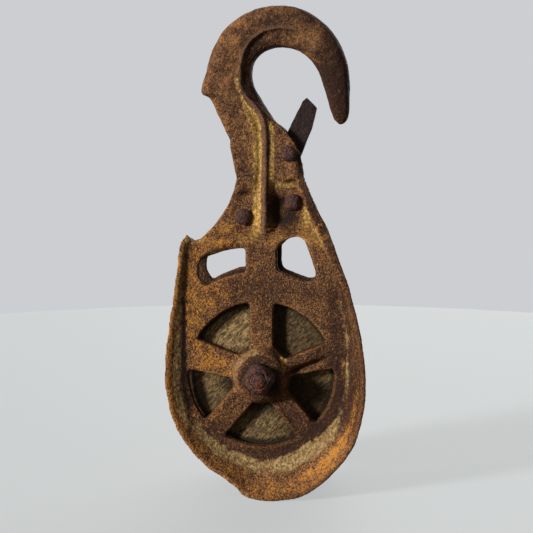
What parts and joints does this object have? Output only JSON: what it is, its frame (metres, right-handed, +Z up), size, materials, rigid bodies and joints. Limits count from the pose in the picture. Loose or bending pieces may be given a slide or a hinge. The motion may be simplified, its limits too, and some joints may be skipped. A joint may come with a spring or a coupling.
{
  "type": "barn pulley",
  "caption": "Cast-iron barn pulley: a grooved wooden rope wheel between two riveted castings, hung by a large hook with a swinging latch.",
  "frame": {"origin": "the hook's seat: the highest point of the hook's inner surface, in the middle plane where the two castings meet", "axes": "+Z up from the wheel to the hook's crown, +X towards the hook's mouth and latch, +Y from the front (nut side) to the back; the wheel turns about Y"},
  "size_m": [0.1549, 0.101, 0.3768],
  "materials": {
    "casting": "rusted, with old yellow paint in the hollows",
    "wheel_wood": "weathered and dry",
    "bush_iron": "dark rust",
    "fastener_iron": "dark purple-brown rust with orange spots",
    "latch_iron": "nearly black rust"
  },
  "bodies": {
    "frame": {"front_cheek": "casting", "back_cheek": "casting", "axle_sleeve": "bush_iron", "axle_bolt": "fastener_iron", "axle_nut": "fastener_iron", "left_frame_rivet": "fastener_iron", "right_frame_rivet": "fastener_iron", "latch_rivet": "fastener_iron"},
    "wheel": {"sheave": "wheel_wood", "front_bush": "bush_iron", "back_bush": "bush_iron", "bush_rivets": "bush_iron"},
    "latch": {"latch": "latch_iron"}
  },
  "joints": [
    {"name": "wheel_spin", "type": "hinge", "parent": "frame", "child": "wheel", "pos_m": [-0.014, 0, -0.252], "axis": [0, 1, 0], "continuous": true},
    {"name": "latch_swing", "type": "hinge", "parent": "frame", "child": "latch", "pos_m": [0.0062, 0, -0.0813], "axis": [0, 1, 0], "range_deg": [-30, 27.4]}
  ]
}
